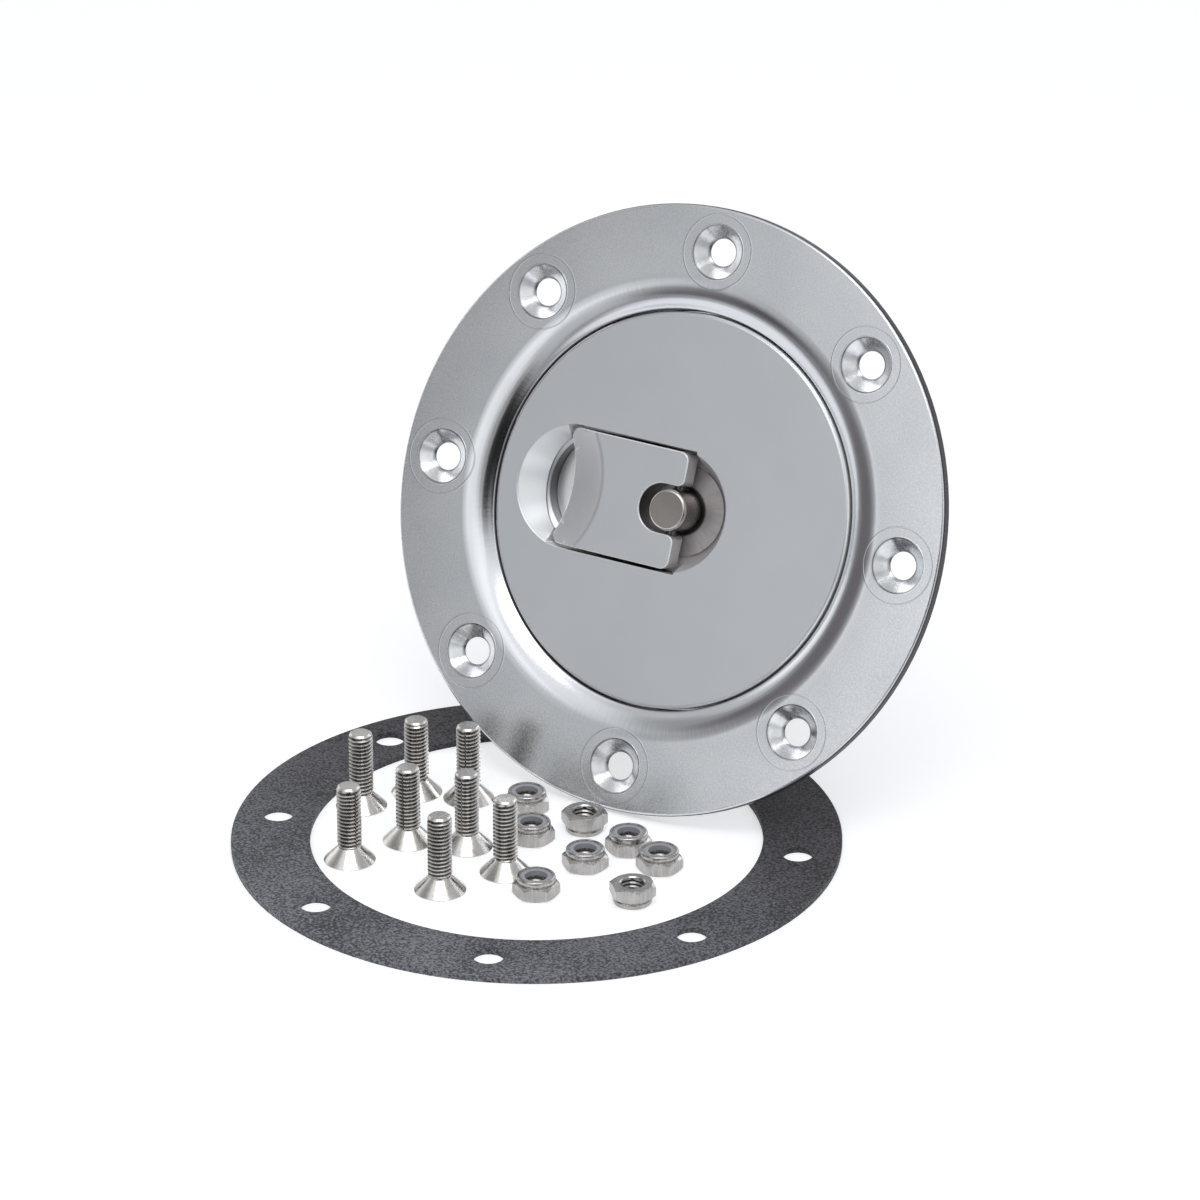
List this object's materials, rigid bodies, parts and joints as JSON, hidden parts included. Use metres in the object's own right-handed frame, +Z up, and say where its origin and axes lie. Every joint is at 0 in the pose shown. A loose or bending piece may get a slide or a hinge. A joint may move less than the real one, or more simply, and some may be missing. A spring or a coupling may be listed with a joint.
{
  "type": "locking fuel cap",
  "caption": "Flush round filler cap: a lever in the lid draws up a spindle that squeezes a rubber ring in the neck. Set with its loose panel gasket, countersunk screws and lock nuts.",
  "frame": {"origin": "centre of the loose panel gasket's underside, on the floor", "axes": "+Z up from the floor; the cap stands behind the gasket, facing -Y, and leans back; +X is to the cap's right as it is seen from in front"},
  "size_m": [0.1566, 0.1802, 0.1393],
  "materials": {
    "flange_aluminium": "satin, brushed, clear anodised",
    "neck_aluminium": "satin, turned",
    "lid_aluminium": "matte, fine bead-blasted",
    "lever_aluminium": "matte, fine bead-blasted",
    "plug_aluminium": "turned",
    "screw_steel": "stainless, bright",
    "nut_steel": "stainless, scratched flats",
    "spindle_steel": "stainless, turned",
    "inner_steel": "stainless",
    "gasket_rubber": "dull, mottled",
    "seal_rubber": "dull",
    "bush_bronze": "turned",
    "insert_nylon": "dull"
  },
  "bodies": {
    "housing": {"flange_ring": "flange_aluminium", "neck_tube": "neck_aluminium", "panel_gasket": "gasket_rubber", "flange_screws": "screw_steel", "lock_nuts": "nut_steel", "nut_inserts": "insert_nylon"},
    "lid": {"lid_plate": "lid_aluminium", "seat_washer": "seal_rubber", "plug_body": "plug_aluminium", "plug_screws": "inner_steel", "plug_oring": "seal_rubber", "squeeze_ring": "seal_rubber", "wear_plate": "inner_steel", "spindle_bush": "bush_bronze", "guide_pins": "inner_steel", "return_spring": "inner_steel"},
    "draw_bar": {"spindle": "spindle_steel", "spindle_oring": "seal_rubber", "cross_pin": "inner_steel", "pressure_plate": "plug_aluminium", "stud_washer": "inner_steel", "stud_nut": "nut_steel", "stud_nut_insert": "insert_nylon"},
    "lever": {"handle_lever": "lever_aluminium"}
  },
  "joints": [
    {"name": "lid_lift", "type": "slide", "parent": "housing", "child": "lid", "axis": [0, -0.9229, 0.3851], "range_m": [0, 0.06]},
    {"name": "spindle_draw", "type": "slide", "parent": "lid", "child": "draw_bar", "axis": [0, 0.9229, -0.3851], "range_m": [0, 0.00145]},
    {"name": "lever_lift", "type": "hinge", "parent": "draw_bar", "child": "lever", "pos_m": [0.0072, 0.05478, 0.06833], "axis": [0, 0.3851, 0.9229], "range_deg": [0, 90]}
  ],
  "couplings": [
    {"joint": "lever_lift", "follows": "spindle_draw", "rad_per_m": 1083.3}
  ]
}
